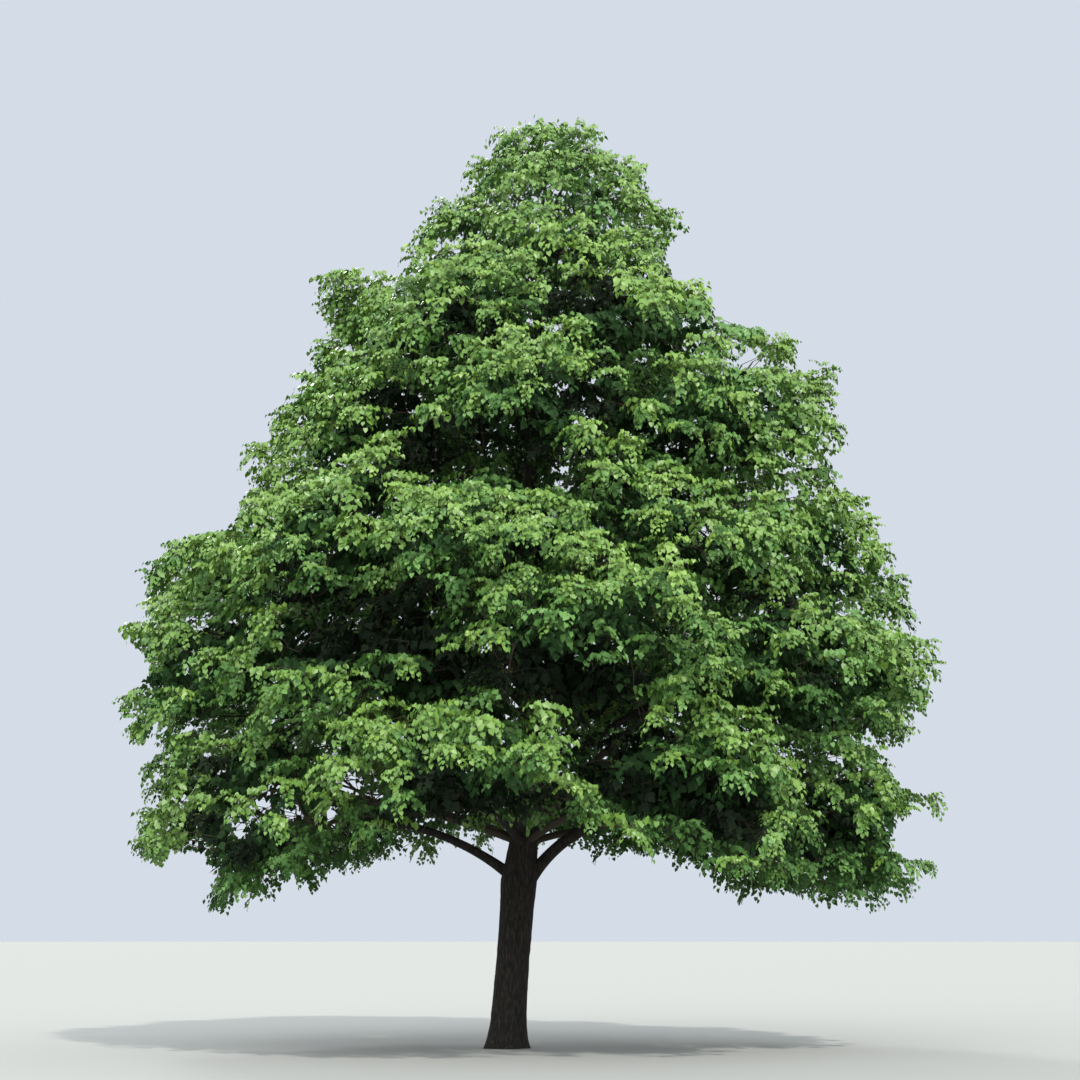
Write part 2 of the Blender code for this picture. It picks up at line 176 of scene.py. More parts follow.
# bays in its outline, told in the same way
BAYS = (
    (-4.45, 8.03, 0.39),
    (-5.77, 5.53, 0.36),
    (-4.68, 2.38, 0.39),
    (6.08, 4.06, 0.39),
    (5.97, 3.01, 0.30),
    (2.47, 13.15, 0.33),
    (2.77, 11.88, 0.33),
    (3.56, 11.29, 0.45),
    (3.98, 11.16, 0.30),
    (4.74, 10.59, 0.21),
    (5.23, 10.69, 0.30),
)
# tips of branches that stand out of the outline: x, z, size of the tuft
TIPS = (
    (-2.80, 11.71, 0.95),
    (-2.50, 11.77, 0.95),
    (-2.10, 11.77, 0.95),
    (-2.86, 11.32, 0.95),
    (-2.43, 11.16, 0.95),
    (-3.39, 9.82, 0.95),
    (-3.16, 9.58, 0.95),
    (-3.83, 9.00, 0.95),
    (-5.65, 6.23, 0.95),
    (-5.70, 5.90, 0.95),
    (6.07, 6.25, 0.95),
    (6.06, 4.49, 0.95),
    (-5.40, 4.17, 0.95),
    (-5.76, 5.11, 0.95),
    (-5.50, 2.96, 0.95),
    (-5.20, 2.81, 0.95),
    (6.33, 5.16, 0.95),
    (6.24, 3.68, 0.95),
    (5.99, 3.61, 0.95),
    (6.35, 2.73, 0.95),
    (6.10, 2.64, 0.95),
    (3.37, 2.15, 0.95),
    (-4.38, 2.22, 0.95),
    (-3.51, 2.09, 0.95),
    (-2.74, 2.29, 0.95),
    (0.05, 13.80, 0.95),
    (1.30, 13.70, 0.95),
    (0.64, 13.70, 0.95),
    (1.73, 13.46, 0.95),
    (1.95, 13.23, 0.95),
    (-1.26, 12.64, 0.95),
    (-0.98, 12.94, 0.95),
    (2.19, 12.77, 0.95),
    (4.35, 10.59, 0.62),
    (4.24, 10.37, 0.62),
    (4.12, 10.15, 0.62),
    (4.97, 10.18, 0.62),
    (4.89, 9.96, 0.62),
    (4.78, 9.74, 0.62),
    (4.99, 9.64, 0.62),
    (3.73, 10.69, 0.62),
)

TUFT_WIDE, TUFT_HIGH = 0.56, 0.42  # between tufts on the open face
SPRAY_LENGTH = 0.34
SPRAY_LEAVES = 13
LEAF_SIZE = 0.078  # length of a blade past its notch; 3 to 8 cm in life
SHADE_SPACING = 0.54  # between clumps of shade leaves behind the face
SHADE_DEPTH = 0.32
DEEP_SPACING = 0.50  # between clumps in the heart of a mass
DEEP_DEPTH = 0.80
BLEND = 0.24  # how far the face of the crown fills the clefts between masses
THIN = 5.2  # clumps on a sight line below which it is filled
TRI_LIMIT = 190000
EYE = np.array([0.4877, -30.9535, 1.5503])  # where the tree is looked at from

rng = np.random.default_rng(SEED)


# ----------------------------------------------------------------------------
# helpers
# ----------------------------------------------------------------------------
def column(table, i):
    return [row[i] for row in table]


def trunk_axis(z):
    z = np.asarray(z, dtype=float)
    heights = column(TRUNK_LINE, 0)
    return np.stack(
        [
            np.interp(z, heights, column(TRUNK_LINE, 1)),
            np.interp(z, heights, column(TRUNK_LINE, 2)),
            z,
        ],
        axis=-1,
    )


def trunk_radius(z):
    return np.interp(z, column(TRUNK_TAPER, 0), column(TRUNK_TAPER, 1))


def unit(v):
    v = np.asarray(v, dtype=float)
    n = np.linalg.norm(v, axis=-1, keepdims=True)
    return v / np.maximum(n, 1e-9)


def principled(name, colour, roughness, specular=0.5):
    mat = bpy.data.materials.new(name)
    mat.use_nodes = True
    shader = mat.node_tree.nodes["Principled BSDF"]
    shader.inputs["Base Color"].default_value = (*colour, 1.0)
    shader.inputs["Roughness"].default_value = roughness
    shader.inputs["Specular IOR Level"].default_value = specular
    return mat


def make_mesh(name, verts, tris, materials, index=None, smooth=True):
    """A mesh object from arrays of corners and triangles."""
    mesh = bpy.data.meshes.new(name)
    nv, nf = len(verts), len(tris)
    mesh.vertices.add(nv)
    mesh.vertices.foreach_set("co", np.ascontiguousarray(verts, dtype=np.float32).ravel())
    mesh.loops.add(nf * 3)
    mesh.loops.foreach_set("vertex_index", np.ascontiguousarray(tris, dtype=np.int32).ravel())
    mesh.polygons.add(nf)
    mesh.polygons.foreach_set("loop_start", np.arange(0, nf * 3, 3, dtype=np.int32))
    for mat in materials:
        mesh.materials.append(mat)
    if index is not None:
        mesh.polygons.foreach_set("material_index", np.ascontiguousarray(index, dtype=np.int32))
    mesh.update(calc_edges=True)
    if smooth:
        mesh.shade_smooth()
    mesh.validate()
    ob = bpy.data.objects.new(name, mesh)
    bpy.context.scene.collection.objects.link(ob)
    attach(ob, "root")
    return ob


def tube(points, radii, sides, cap=True):
    """A tapering tube along a line of points, as corners and triangles."""
    points = np.asarray(points, dtype=float)
    n = len(points)
    ahead = np.empty_like(points)
    ahead[1:-1] = points[2:] - points[:-2]
    ahead[0], ahead[-1] = points[1] - points[0], points[-1] - points[-2]
    ahead = unit(ahead)
    ref = np.array([0.0, 0.0, 1.0]) if abs(ahead[0][2]) < 0.9 else np.array([1.0, 0.0, 0.0])
    side = unit(np.cross(ahead, ref))
    up = np.cross(side, ahead)
    a = np.linspace(0, 2 * math.pi, sides, endpoint=False)
    ring = side[:, None, :] * np.cos(a)[None, :, None] + up[:, None, :] * np.sin(a)[None, :, None]
    verts = points[:, None, :] + ring * np.asarray(radii)[:, None, None]
    verts = verts.reshape(-1, 3)
    tris = []
    for i in range(n - 1):
        for k in range(sides):
            j = (k + 1) % sides
            p, q, r, s = i * sides + k, i * sides + j, (i + 1) * sides + j, (i + 1) * sides + k
            tris += [(p, r, q), (p, s, r)]
    if cap:
        last = (n - 1) * sides
        for k in range(1, sides - 1):
            tris.append((last, last + k + 1, last + k))
    return verts, np.array(tris, dtype=np.int64)


def join(parts):
    """One pair of arrays from many pairs of corners and triangles."""
    verts, tris, base = [], [], 0
    for v, t in parts:
        verts.append(v)
        tris.append(t + base)
        base += len(v)
    return np.concatenate(verts), np.concatenate(tris)


# ----------------------------------------------------------------------------
# the masses of the construction
# ----------------------------------------------------------------------------
class Mass:
    pass


def read_masses():
    found = []
    for name, ob in sorted(frame["nodes"].items()):
        if not name.startswith("foliage_"):
            continue
        m = Mass()
        m.name, m.short = name, name[len("foliage_") :]
        mesh = ob.data
        mw = np.array(ob.matrix_world)
        v = np.array([p.co[:] for p in mesh.vertices])
        m.verts = v @ mw[:3, :3].T + mw[:3, 3]
        mesh.calc_loop_triangles()
        m.tris = np.array([t.vertices[:] for t in mesh.loop_triangles])
        a, b, c = (m.verts[m.tris[:, k]] for k in range(3))
        cross = np.cross(b - a, c - a)
        m.area = 0.5 * np.linalg.norm(cross, axis=1)
        m.normal = unit(cross)
        vol = np.einsum("ij,ij->i", a, np.cross(b, c)) / 6.0
        m.centre = ((a + b + c) / 4.0 * vol[:, None]).sum(0) / vol.sum()
        m.bvh = BVHTree.FromPolygons(m.verts.tolist(), m.tris.tolist())
        m.volume = vol.sum()
        found.append(m)
    return found


masses = read_masses()
all_verts, all_tris = join([(m.verts, m.tris) for m in masses])
whole_bvh = BVHTree.FromPolygons(all_verts.tolist(), all_tris.tolist())
for m in masses:
    m.low, m.high = m.verts.min(0) - 0.7, m.verts.max(0) + 0.7
all_lows = np.array([m.low for m in masses])
all_highs = np.array([m.high for m in masses])


def around(p):
    """The masses that a point is in or near."""
    return [masses[i] for i in np.nonzero(((p > all_lows) & (p < all_highs)).all(1))[0]]


def signed(m, v):
    """The nearest place on a mass and the distance to it, less than zero
    inside; by an edge the side is told by a ray away from the middle."""
    loc, normal, _, dist = m.bvh.find_nearest(v)
    gap = v - loc
    side = gap.dot(normal)
    if abs(side) < 0.92 * dist:
        within = m.bvh.ray_cast(v, v - Vector(m.centre))[0] is not None
    else:
        within = side <= 0
    return gap, normal, dist, -dist if within else dist


def envelope(p, blend=BLEND):
    """How far outside the masses a point lies, less than zero inside them,
    with the clefts between two masses partly filled, and the way out."""
    total, way = 0.0, np.zeros(3)
    v = Vector(p)
    for m in around(p):
        gap, normal, dist, d = signed(m, v)
        w = math.exp(-max(d, -1.2) / blend)
        total += w
        way += np.array(gap / d if dist > 0.03 else normal) * w
    if total <= 0.0:
        return 9.0, np.zeros(3)
    return -math.log(total) * blend, way / total


def outside(p):
    best = 9.0
    v = Vector(p)
    for m in around(p):
        best = min(best, signed(m, v)[3])
    return best


def shut_in(p):
    """Whether a point has leaves on every side of it."""
    v = Vector(p)
    return all(
        whole_bvh.ray_cast(v, Vector(r), 13.0)[0] is not None
        for r in ((0, 0, 1), (1, 0, 0), (-1, 0, 0), (0, 1, 0), (0, -1, 0), (0, 0, -1))
    )


def to_face(p):
    """The nearest place on the face of the crown and the way it faces."""
    for _ in range(3):
        d, way = envelope(p)
        size = float(way @ way)
        if size < 0.12 or d > 2.0:
            return None, None
        step = way * (d / size)
        long = float(np.linalg.norm(step))
        p = p - step * min(1.0, 0.3 / max(long, 1e-6))
        if long < 0.02:
            break
    else:
        if abs(d) > 0.08:
            return None, None
    ahead = unit(way)
    return p, unit(ahead + 1.2 * envelope(p + ahead * 0.35)[1])


def open_share(p, n):
    """How open to the air a point on a mass is, from 0 to 1."""
    out = unit(np.array([p[0] - 0.35, p[1], 0.0]))
    rays = [n, unit(n + 0.6 * out), unit(n + np.array([0, 0, 0.6])), unit(n + 0.8 * out + [0, 0, 0.4])]
    free = 0
    for r in rays:
        hit = whole_bvh.ray_cast(Vector(p + n * 0.03), Vector(r), 2.6)
        if hit[0] is None:
            free += 1
    return free / len(rays)


class Grid:
    """Keeps points at least a set distance apart."""

    def __init__(self, cell):
        self.cell, self.cells = cell, {}

    def near(self, p, d):
        k = int(math.ceil(d / self.cell))
        i0, j0, l0 = (int(math.floor(c / self.cell)) for c in p)
        for i in range(i0 - k, i0 + k + 1):
            for j in range(j0 - k, j0 + k + 1):
                for l in range(l0 - k, l0 + k + 1):
                    for q in self.cells.get((i, j, l), ()):
                        if (q[0] - p[0]) ** 2 + (q[1] - p[1]) ** 2 + (q[2] - p[2]) ** 2 < d * d:
                            return True
        return False

    def add(self, p):
        key = tuple(int(math.floor(c / self.cell)) for c in p)
        self.cells.setdefault(key, []).append(tuple(p))


recess_at = np.array([row[:3] for row in RECESSES])
recess_half = np.array([row[3:] for row in RECESSES])
recess_half[recess_half[:, 0] > 0.30] += 0.07  # leaves hang into the larger ones
recess_look = unit(EYE - recess_at)
recess_side = unit(np.cross(recess_look, [0.0, 0.0, 1.0]))
recess_rise = np.cross(recess_side, recess_look)
hole_at = np.array([(x, 0.0, z) for x, z, _ in CHINKS + BAYS])
hole_radius = np.array([r for _, _, r in CHINKS + BAYS])
hole_look = unit(EYE - hole_at)


def in_recess(p, margin):
    """Whether a point is in one of the recesses, or in its mouth."""
    q = p - recess_at
    a = (q * recess_side).sum(1) / (recess_half[:, 0] + margin)
    b = (q * recess_rise).sum(1) / (recess_half[:, 1] + margin)
    return bool(((a * a + b * b < 1.0) & ((q * recess_look).sum(1) > -0.55)).any())


def behind_recess(p):
    """Whether a point is at the back of a recess, where no light comes; leaves there take a near-black green of
    painted shade.
    """
    q = p - recess_at
    a = (q * recess_side).sum(1) / (recess_half[:, 0] + 0.05)
    b = (q * recess_rise).sum(1) / (recess_half[:, 1] + 0.05)
    deep = (q * recess_look).sum(1)
    return bool(((a * a + b * b < 1.0) & (deep > -2.4) & (deep < 0.1)).any())


def in_hole(p, margin):
    """Whether a point is in a chink, or out in a bay of the outline."""
    q = p - hole_at
    along = (q * hole_look).sum(1)
    return bool(((q * q).sum(1) - along * along < (hole_radius + margin) ** 2).any())


def in_bay(p):
    q = p - hole_at[len(CHINKS) :]
    along = (q * hole_look[len(CHINKS) :]).sum(1)
    return bool(((q * q).sum(1) - along * along < hole_radius[len(CHINKS) :] ** 2).any())


class Clump:
    """A branchlet with its sprays: kind face, shade or deep."""

    def __init__(self, mass, kind, point, normal):
        self.mass, self.kind, self.point, self.normal = mass, kind, point, normal
        self.core = False
        self.limit = 0.13
        self.inward = None


def lumps(p, seed, scale):
    """Smooth noise in space, about -1 to 1."""
    table = NOISE[seed]
    q = p / scale + 40.0
    i = np.floor(q).astype(int)
    f = q - i
    f = f * f * (3 - 2 * f)
    total = 0.0
    for dx in (0, 1):
        for dy in (0, 1):
            for dz in (0, 1):
                w = (f[0] if dx else 1 - f[0]) * (f[1] if dy else 1 - f[1]) * (f[2] if dz else 1 - f[2])
                total += w * table[(i[0] + dx) % 32, (i[1] + dy) % 32, (i[2] + dz) % 32]
    return total * 1.5


NOISE = [np.random.default_rng(90 + k).uniform(-1, 1, (32, 32, 32)) for k in range(3)]


def sample_masses(density):
    samples = []
    for mi, m in enumerate(masses):
        count = int(m.area.sum() * density)
        pick = rng.choice(len(m.area), size=count, p=m.area / m.area.sum())
        u, v = rng.random(count), rng.random(count)
        flip = u + v > 1
        u[flip], v[flip] = 1 - u[flip], 1 - v[flip]
        a, b, c = (m.verts[m.tris[pick, k]] for k in range(3))
        p = a + (b - a) * u[:, None] + (c - a) * v[:, None]
        for k in range(count):
            samples.append((mi, p[k], m.normal[pick[k]]))
    return [samples[i] for i in rng.permutation(len(samples))]


def place_tufts(samples):
    """Tufts over the open face of the crown, closer in height than in width."""
    found, closed, opened = [], [], []
    placed = Grid(1.0)
    squash = np.array([1.0, 1.0, TUFT_WIDE / TUFT_HIGH])
    for c in place_tips():
        placed.add(c.point * squash)
        found.append(c)
    for mi, p, n in samples:
        size = float(np.clip(1.0 + 0.22 * lumps(p, 1, 0.9) + rng.normal(0, 0.08), 0.70, 1.35))
        if placed.near(p * squash, TUFT_WIDE * size * 0.75):
            continue
        if open_share(p, n) >= 0.5:
            opened.append((mi, p, n))
        else:
            closed.append((mi, p, n))
        q, nq = to_face(p)
        if q is None or placed.near(q * squash, TUFT_WIDE * size):
            continue
        if open_share(q, nq) < 0.5 or nq[2] < -0.75 or in_recess(q, 0.02) or in_hole(q, 0.06):
            continue
        placed.add(q * squash)
        if lumps(q * [1.0, 1.0, 1.6], 2, 0.8) < -0.66 and abs(nq @ unit(EYE - q)) > 0.45:
            continue
        c = Clump(mi, "face", q, nq)
        c.size = size
        swell = lumps(q, 0, 1.25)
        c.proud = float(np.clip(0.01 + 0.20 * swell, -0.26, 0.12)) + rng.uniform(-0.04, 0.04)
        c.limit = float(np.clip(0.11 + 0.13 * swell, 0.02, 0.22))
        if q[2] > 13.0:
            c.proud, c.limit = min(c.proud, -0.10), -0.02
        found.append(c)
    return found, closed, opened


def nearest_mass(p):
    return min(range(len(masses)), key=lambda k: float(np.linalg.norm(masses[k].centre - p)))


def place_tips():
    """Tufts on the tips of branches that stand out of the crown."""
    found = []
    for x, z, size in TIPS:
        p = np.array([x, rng.uniform(-0.4, 0.4) * size, z])
        d, way = envelope(p, 0.32)
        if d > 1.5 or d < -0.45 or d < 0.0 and not shut_in(p):
            continue
        out = unit(p - masses[nearest_mass(p)].centre)
        n = unit(out + 0.6 * way) if float(way @ out) > 0.0 else out
        p = p - n * (0.20 * size)
        for k in range(2 + int(max(d, 0.0) / 0.3)):
            c = Clump(nearest_mass(p - n), "face", p - n * 0.30 * k, n)
            c.size, c.proud, c.limit = size, 0.03, max(d, 0.0) + 0.05
            c.inward = 0.45 + max(d, -0.1)
            found.append(c)
    return found


def fill_thin(found):
    """More leaves inside wherever the crown would be seen through from the
    front, from a side or on the slant."""
    count = len(found)
    cloud = np.vstack([[c.point for c in found], np.zeros((2500, 3))])
    for az in (0.0, 90.0, 45.0, -45.0):
        a = math.radians(az)
        back = np.array([-math.sin(a), math.cos(a), 0.0])  # away from the viewer
        side = np.array([math.cos(a), math.sin(a), 0.0])
        eye = -back * 31.0 + side * (EYE[0] * math.cos(a)) + np.array([0.0, 0.0, EYE[2]])
        step = 0.26 if az == 0.0 else 0.34
        for across in np.arange(-6.0, 6.4, step):
            for z in np.arange(2.9, 13.6, step):
                mark = side * across + np.array([0.0, 0.0, z])
                look = unit(mark - eye)
                q = cloud[:count] - eye
                along = q @ look
                near = (q * q).sum(1) - along * along
                cover = float(np.exp(-near / 0.11).sum())
                if cover > THIN:
                    continue
                reach = float((mark - eye) @ look)
                best, spot = 0.0, None
                for t in rng.uniform(-4.6, 4.6, 9):
                    p = eye + look * (reach + t)
                    d = envelope(p)[0]
                    if d < best and shut_in(p):
                        best, spot = d, p
                if spot is None or best > -0.24 or in_recess(spot, 0.05) or (az == 0.0 and in_hole(spot, 0.05)):
                    continue
                c = Clump(nearest_mass(spot), "deep" if best < -0.60 else "shade", spot, unit(spot - trunk_axis(z)))
                found.append(c)
                cloud[count] = spot
                count += 1


def place_clumps():
    """Branchlets over the open face of the crown, shade leaves behind them
    and in the clefts, and a few in the heart of each mass."""
    samples = sample_masses(30)
    found, closed, _ = place_tufts(samples)
    opened = [s for s in samples[:7000] if open_share(s[1], s[2]) >= 0.5]
    closed += [s for s in samples[7000:12000] if open_share(s[1], s[2]) < 0.5]
    shade = Grid(0.6)
    for mi, p, n in opened:
        q = p - n * SHADE_DEPTH * rng.uniform(0.8, 1.2)
        if shade.near(q, SHADE_SPACING) or in_recess(q, 0.06) or in_hole(q, 0.06) or outside(q) > -0.2 or not shut_in(q):
            continue
        shade.add(q)
        found.append(Clump(mi, "shade", q, n))
    for mi, p, n in closed:
        q = p - n * rng.uniform(0.0, 0.2)
        if shade.near(q, SHADE_SPACING * 1.15) or in_recess(q, 0.06) or in_hole(q, 0.06):
            continue
        shade.add(q)
        found.append(Clump(mi, "shade", q, n))
    deep = Grid(0.6)
    for mi, p, n in opened:
        q = p - n * DEEP_DEPTH * rng.uniform(0.85, 1.2)
        if deep.near(q, DEEP_SPACING) or in_recess(q, 0.12) or outside(q) > -0.1:
            continue
        deep.add(q)
        found.append(Clump(mi, "deep", q, n))
    for mi, m in enumerate(masses):
        for _ in range(90):
            t = rng.uniform(0.05, 0.60)
            k = rng.choice(len(m.area), p=m.area / m.area.sum())
            s = m.verts[m.tris[k]].mean(0)
            p = m.centre + (s - m.centre) * t
            if deep.near(p, DEEP_SPACING) or shade.near(p, 0.40) or in_recess(p, 0.12):
                continue
            deep.add(p)
            found.append(Clump(mi, "deep", p, unit(s - m.centre)))
    # dark leaves filling the back of each recess; those at its very back take the near-black green of painted shade
    for k in range(len(RECESSES)):
        half = recess_half[k].max() + 0.15
        for _ in range(40):
            back = rng.uniform(0.9, 2.2)
            a, b = rng.uniform(-1.2, 1.2, 2) * half
            p = recess_at[k] - recess_look[k] * back + recess_side[k] * a + recess_rise[k] * b
            if deep.near(p, 0.40) or in_recess(p, 0.1) or not shut_in(p):
                continue
            deep.add(p)
            found.append(Clump(nearest_mass(p), "deep", p, recess_look[k]))
    core = Grid(0.6)
    for _ in range(1600):
        z = rng.uniform(3.6, 12.0)
        a, reach = rng.uniform(0, 2 * math.pi), rng.uniform(0.35, 1.5) * (1.0 if z < 8.5 else 0.7)
        p = trunk_axis(z) + np.array([math.cos(a), math.sin(a), 0.0]) * reach
        if deep.near(p, 0.5) or shade.near(p, 0.45) or core.near(p, 0.62):
            continue
        core.add(p)
        c = Clump(nearest_mass(p), "deep", p, unit(p - trunk_axis(z)))
        c.core = True
        found.append(c)
    before = len(found)
    fill_thin(found)
    print("filled", len(found) - before)
    return found


# ----------------------------------------------------------------------------
# sprays: short leafy twigs, made once in several shapes and set out by arrays
# ----------------------------------------------------------------------------
def leaf_blade(hand):
    """A heart-shaped blade along +X, lopsided at its foot as a linden's is,
    and folded a little along its midrib."""
    fold = 0.18
    verts = np.array(
        [
            (0.05, 0.0, 0.0),
            (-0.07, 0.36 * hand, 0.36 * fold),
            (0.44, 0.46 * hand, 0.46 * fold),
            (1.0, 0.0, -0.08),
            (0.46, -0.42 * hand, 0.42 * fold),
            (-0.01, -0.40 * hand, 0.40 * fold),
        ]
    )
    tris = np.array([(0, 2, 1), (0, 3, 2), (0, 4, 3), (0, 5, 4)])
    return verts, tris if hand > 0 else tris[:, ::-1]


BLADES = (leaf_blade(1), leaf_blade(-1))


def orient(midrib, normal):
    x = unit(midrib)
    z = unit(normal - x * float(normal @ x))
    y = np.cross(z, x)
    return np.stack([x, y, z], axis=1)


def spike(foot, mid, radius, tip=None):
    """A thin twig of three sides that runs out to a point."""
    ahead = unit(mid - foot)
    side = unit(np.cross(ahead, [0.1, 0.2, 1.0]))
    up = np.cross(side, ahead)
    a = np.array([0.5, 2.6, 4.7])
    ring = side * np.cos(a)[:, None] + up * np.sin(a)[:, None]
    if tip is None:
        return np.vstack([foot + ring * radius, mid]), np.array([(k, (k + 1) % 3, 3) for k in range(3)])[:, ::-1]
    verts = np.vstack([foot + ring * radius, mid + ring * radius * 0.7, tip])
    tris = []
    for k in range(3):
        j = (k + 1) % 3
        tris += [(k, 3 + j, j), (k, 3 + k, 3 + j), (3 + k, 6, 3 + j)]
    return verts, np.array(tris)


KITE = (
    np.array([(-0.04, 0.0, 0.0), (0.34, 0.48, 0.07), (1.0, 0.0, -0.08), (0.30, -0.48, 0.07)]),
    np.array([(0, 2, 1), (0, 3, 2)]),
)


def make_spray(elevation, seed, leaves, length, size, plain=False):
    """A twig from the origin along +X that droops, with leaves in two rows
    that hang from it."""
    r = np.random.default_rng(seed)
    n = 8
    t = (np.arange(n) + 0.5) / n
    start = math.radians(elevation)
    end = max(start - math.radians(74 + r.uniform(-12, 12)), math.radians(-86))
    angle = start + (end - start) * t
    bend = r.uniform(-0.35, 0.35)
    d = np.stack([np.cos(angle), bend * t, np.sin(angle)], axis=1)
    pts = np.vstack([[0, 0, 0], np.cumsum(unit(d) * (length / n), axis=0)])
    dense = np.linspace(0, 1, n + 1)

    def at(u):
        return np.array([np.interp(u, dense, pts[:, k]) for k in range(3)])

    def heading(u):
        return unit(at(min(u + 0.06, 1.0)) - at(max(u - 0.06, 0.0)))

    lv, lt = [], []
    wood = spike(at(0.0), at(1.0), 0.0045) if plain else spike(at(0.0), at(0.55), 0.0042, at(1.0))
    base_index = 0
    for i in range(leaves):
        last = i == leaves - 1
        u = 1.0 if last else 0.06 + 0.92 * i / (leaves - 1)
        f = heading(u)
        flat = unit(f * np.array([1.0, 1.0, 0.0]) + np.array([0.25, 0, 0]))
        sgn = 1 if i % 2 else -1
        side = np.array([-flat[1], flat[0], 0.0]) * sgn
        hang = r.uniform(0.75, 1.6)
        out = 0.15 if last else r.uniform(0.15, 1.05)
        mid = unit(flat * r.uniform(0.2, 0.8) + side * out + np.array([0, 0, -hang]) + r.normal(0, 0.25, 3))
        face = unit(np.array([0, 0, 0.55]) + flat * 0.65 + side * 0.25 + r.normal(0, 0.34, 3))
        m = orient(mid, face)
        stalk = unit(f * 0.4 + side * out + np.array([0, 0, 0.1]))
        base = at(u) + stalk * r.uniform(0.015, 0.060) + r.normal(0, 0.010, 3)
        s = size * (0.86 + 0.20 * math.sin(math.pi * min(u * 1.05, 1.0))) * r.uniform(0.78, 1.18)
        bv, bt = KITE if plain else BLADES[i % 2]
        lv.append(base + (bv * s) @ m.T)
        lt.append(bt + base_index)
        base_index += len(bv)
    return np.concatenate(lv), np.concatenate(lt), wood[0], wood[1], pts


ELEVATIONS = (66.0, 42.0, 18.0, -6.0, -32.0)
KINDS = 5
spray_kinds = {}
for ei, el in enumerate(ELEVATIONS):
    for k in range(KINDS):
        spray_kinds[("face", ei, k)] = make_spray(el, 100 + 10 * ei + k, SPRAY_LEAVES, SPRAY_LENGTH, LEAF_SIZE)
        spray_kinds[("shade", ei, k)] = make_spray(el, 500 + 10 * ei + k, 15, 0.44, 0.092, True)
        spray_kinds[("deep", ei, k)] = make_spray(el, 900 + 10 * ei + k, 13, 0.62, 0.150, True)

# greens, from young and light to old and deep, the lighter ones dealt more to upward-facing tufts as painted
# sunlight; one of shade leaves; and three darker greens of painted shade for under the skirt, the heart of the
# masses and the back of the recesses
GREENS = (
    ("leaf_young", (0.208, 0.345, 0.056), 0.40),
    ("leaf_light", (0.176, 0.309, 0.051), 0.40),
    ("leaf_fresh", (0.149, 0.276, 0.047), 0.41),
    ("leaf_mid", (0.127, 0.246, 0.043), 0.42),
    ("leaf_full", (0.110, 0.232, 0.042), 0.43),
    ("leaf_deep", (0.096, 0.215, 0.039), 0.45),
    ("leaf_shade", (0.104, 0.236, 0.046), 0.50),
    # painted shade: the three greens below stand in for the shade under the skirt, deep inside the masses and at
    # the back of the recesses
    ("leaf_under_painted_shade", (0.060, 0.140, 0.034), 0.60),
    ("leaf_dark_painted_shade", (0.031, 0.075, 0.023), 0.80),
    ("leaf_hollow_painted_shade", (0.012, 0.022, 0.010), 0.80),
)
leaf_mats = [principled(n, c, r, 0.5 if r < 0.55 else 0.15) for n, c, r in GREENS]
twig_mat = principled("twig_bark", (0.050, 0.038, 0.026), 0.8, 0.3)


class Spray:
    __slots__ = ("pos", "yaw", "roll", "pitch", "scale", "kind", "colour", "mass", "at")


def turned(s, pts):
    """Points of a spray's own shape where the spray stands."""
    return pts @ rotations([s])[0].T * s.scale + s.pos


def aim(s, kind, d):
    """Sets a spray off from its place in a direction."""
    d = unit(d)
    lift = math.degrees(math.asin(max(-1.0, min(1.0, d[2]))))
    s.yaw = math.atan2(d[1], d[0])
    s.kind = (kind, int(np.argmin([abs(lift - e) for e in ELEVATIONS])), int(rng.integers(0, KINDS)))


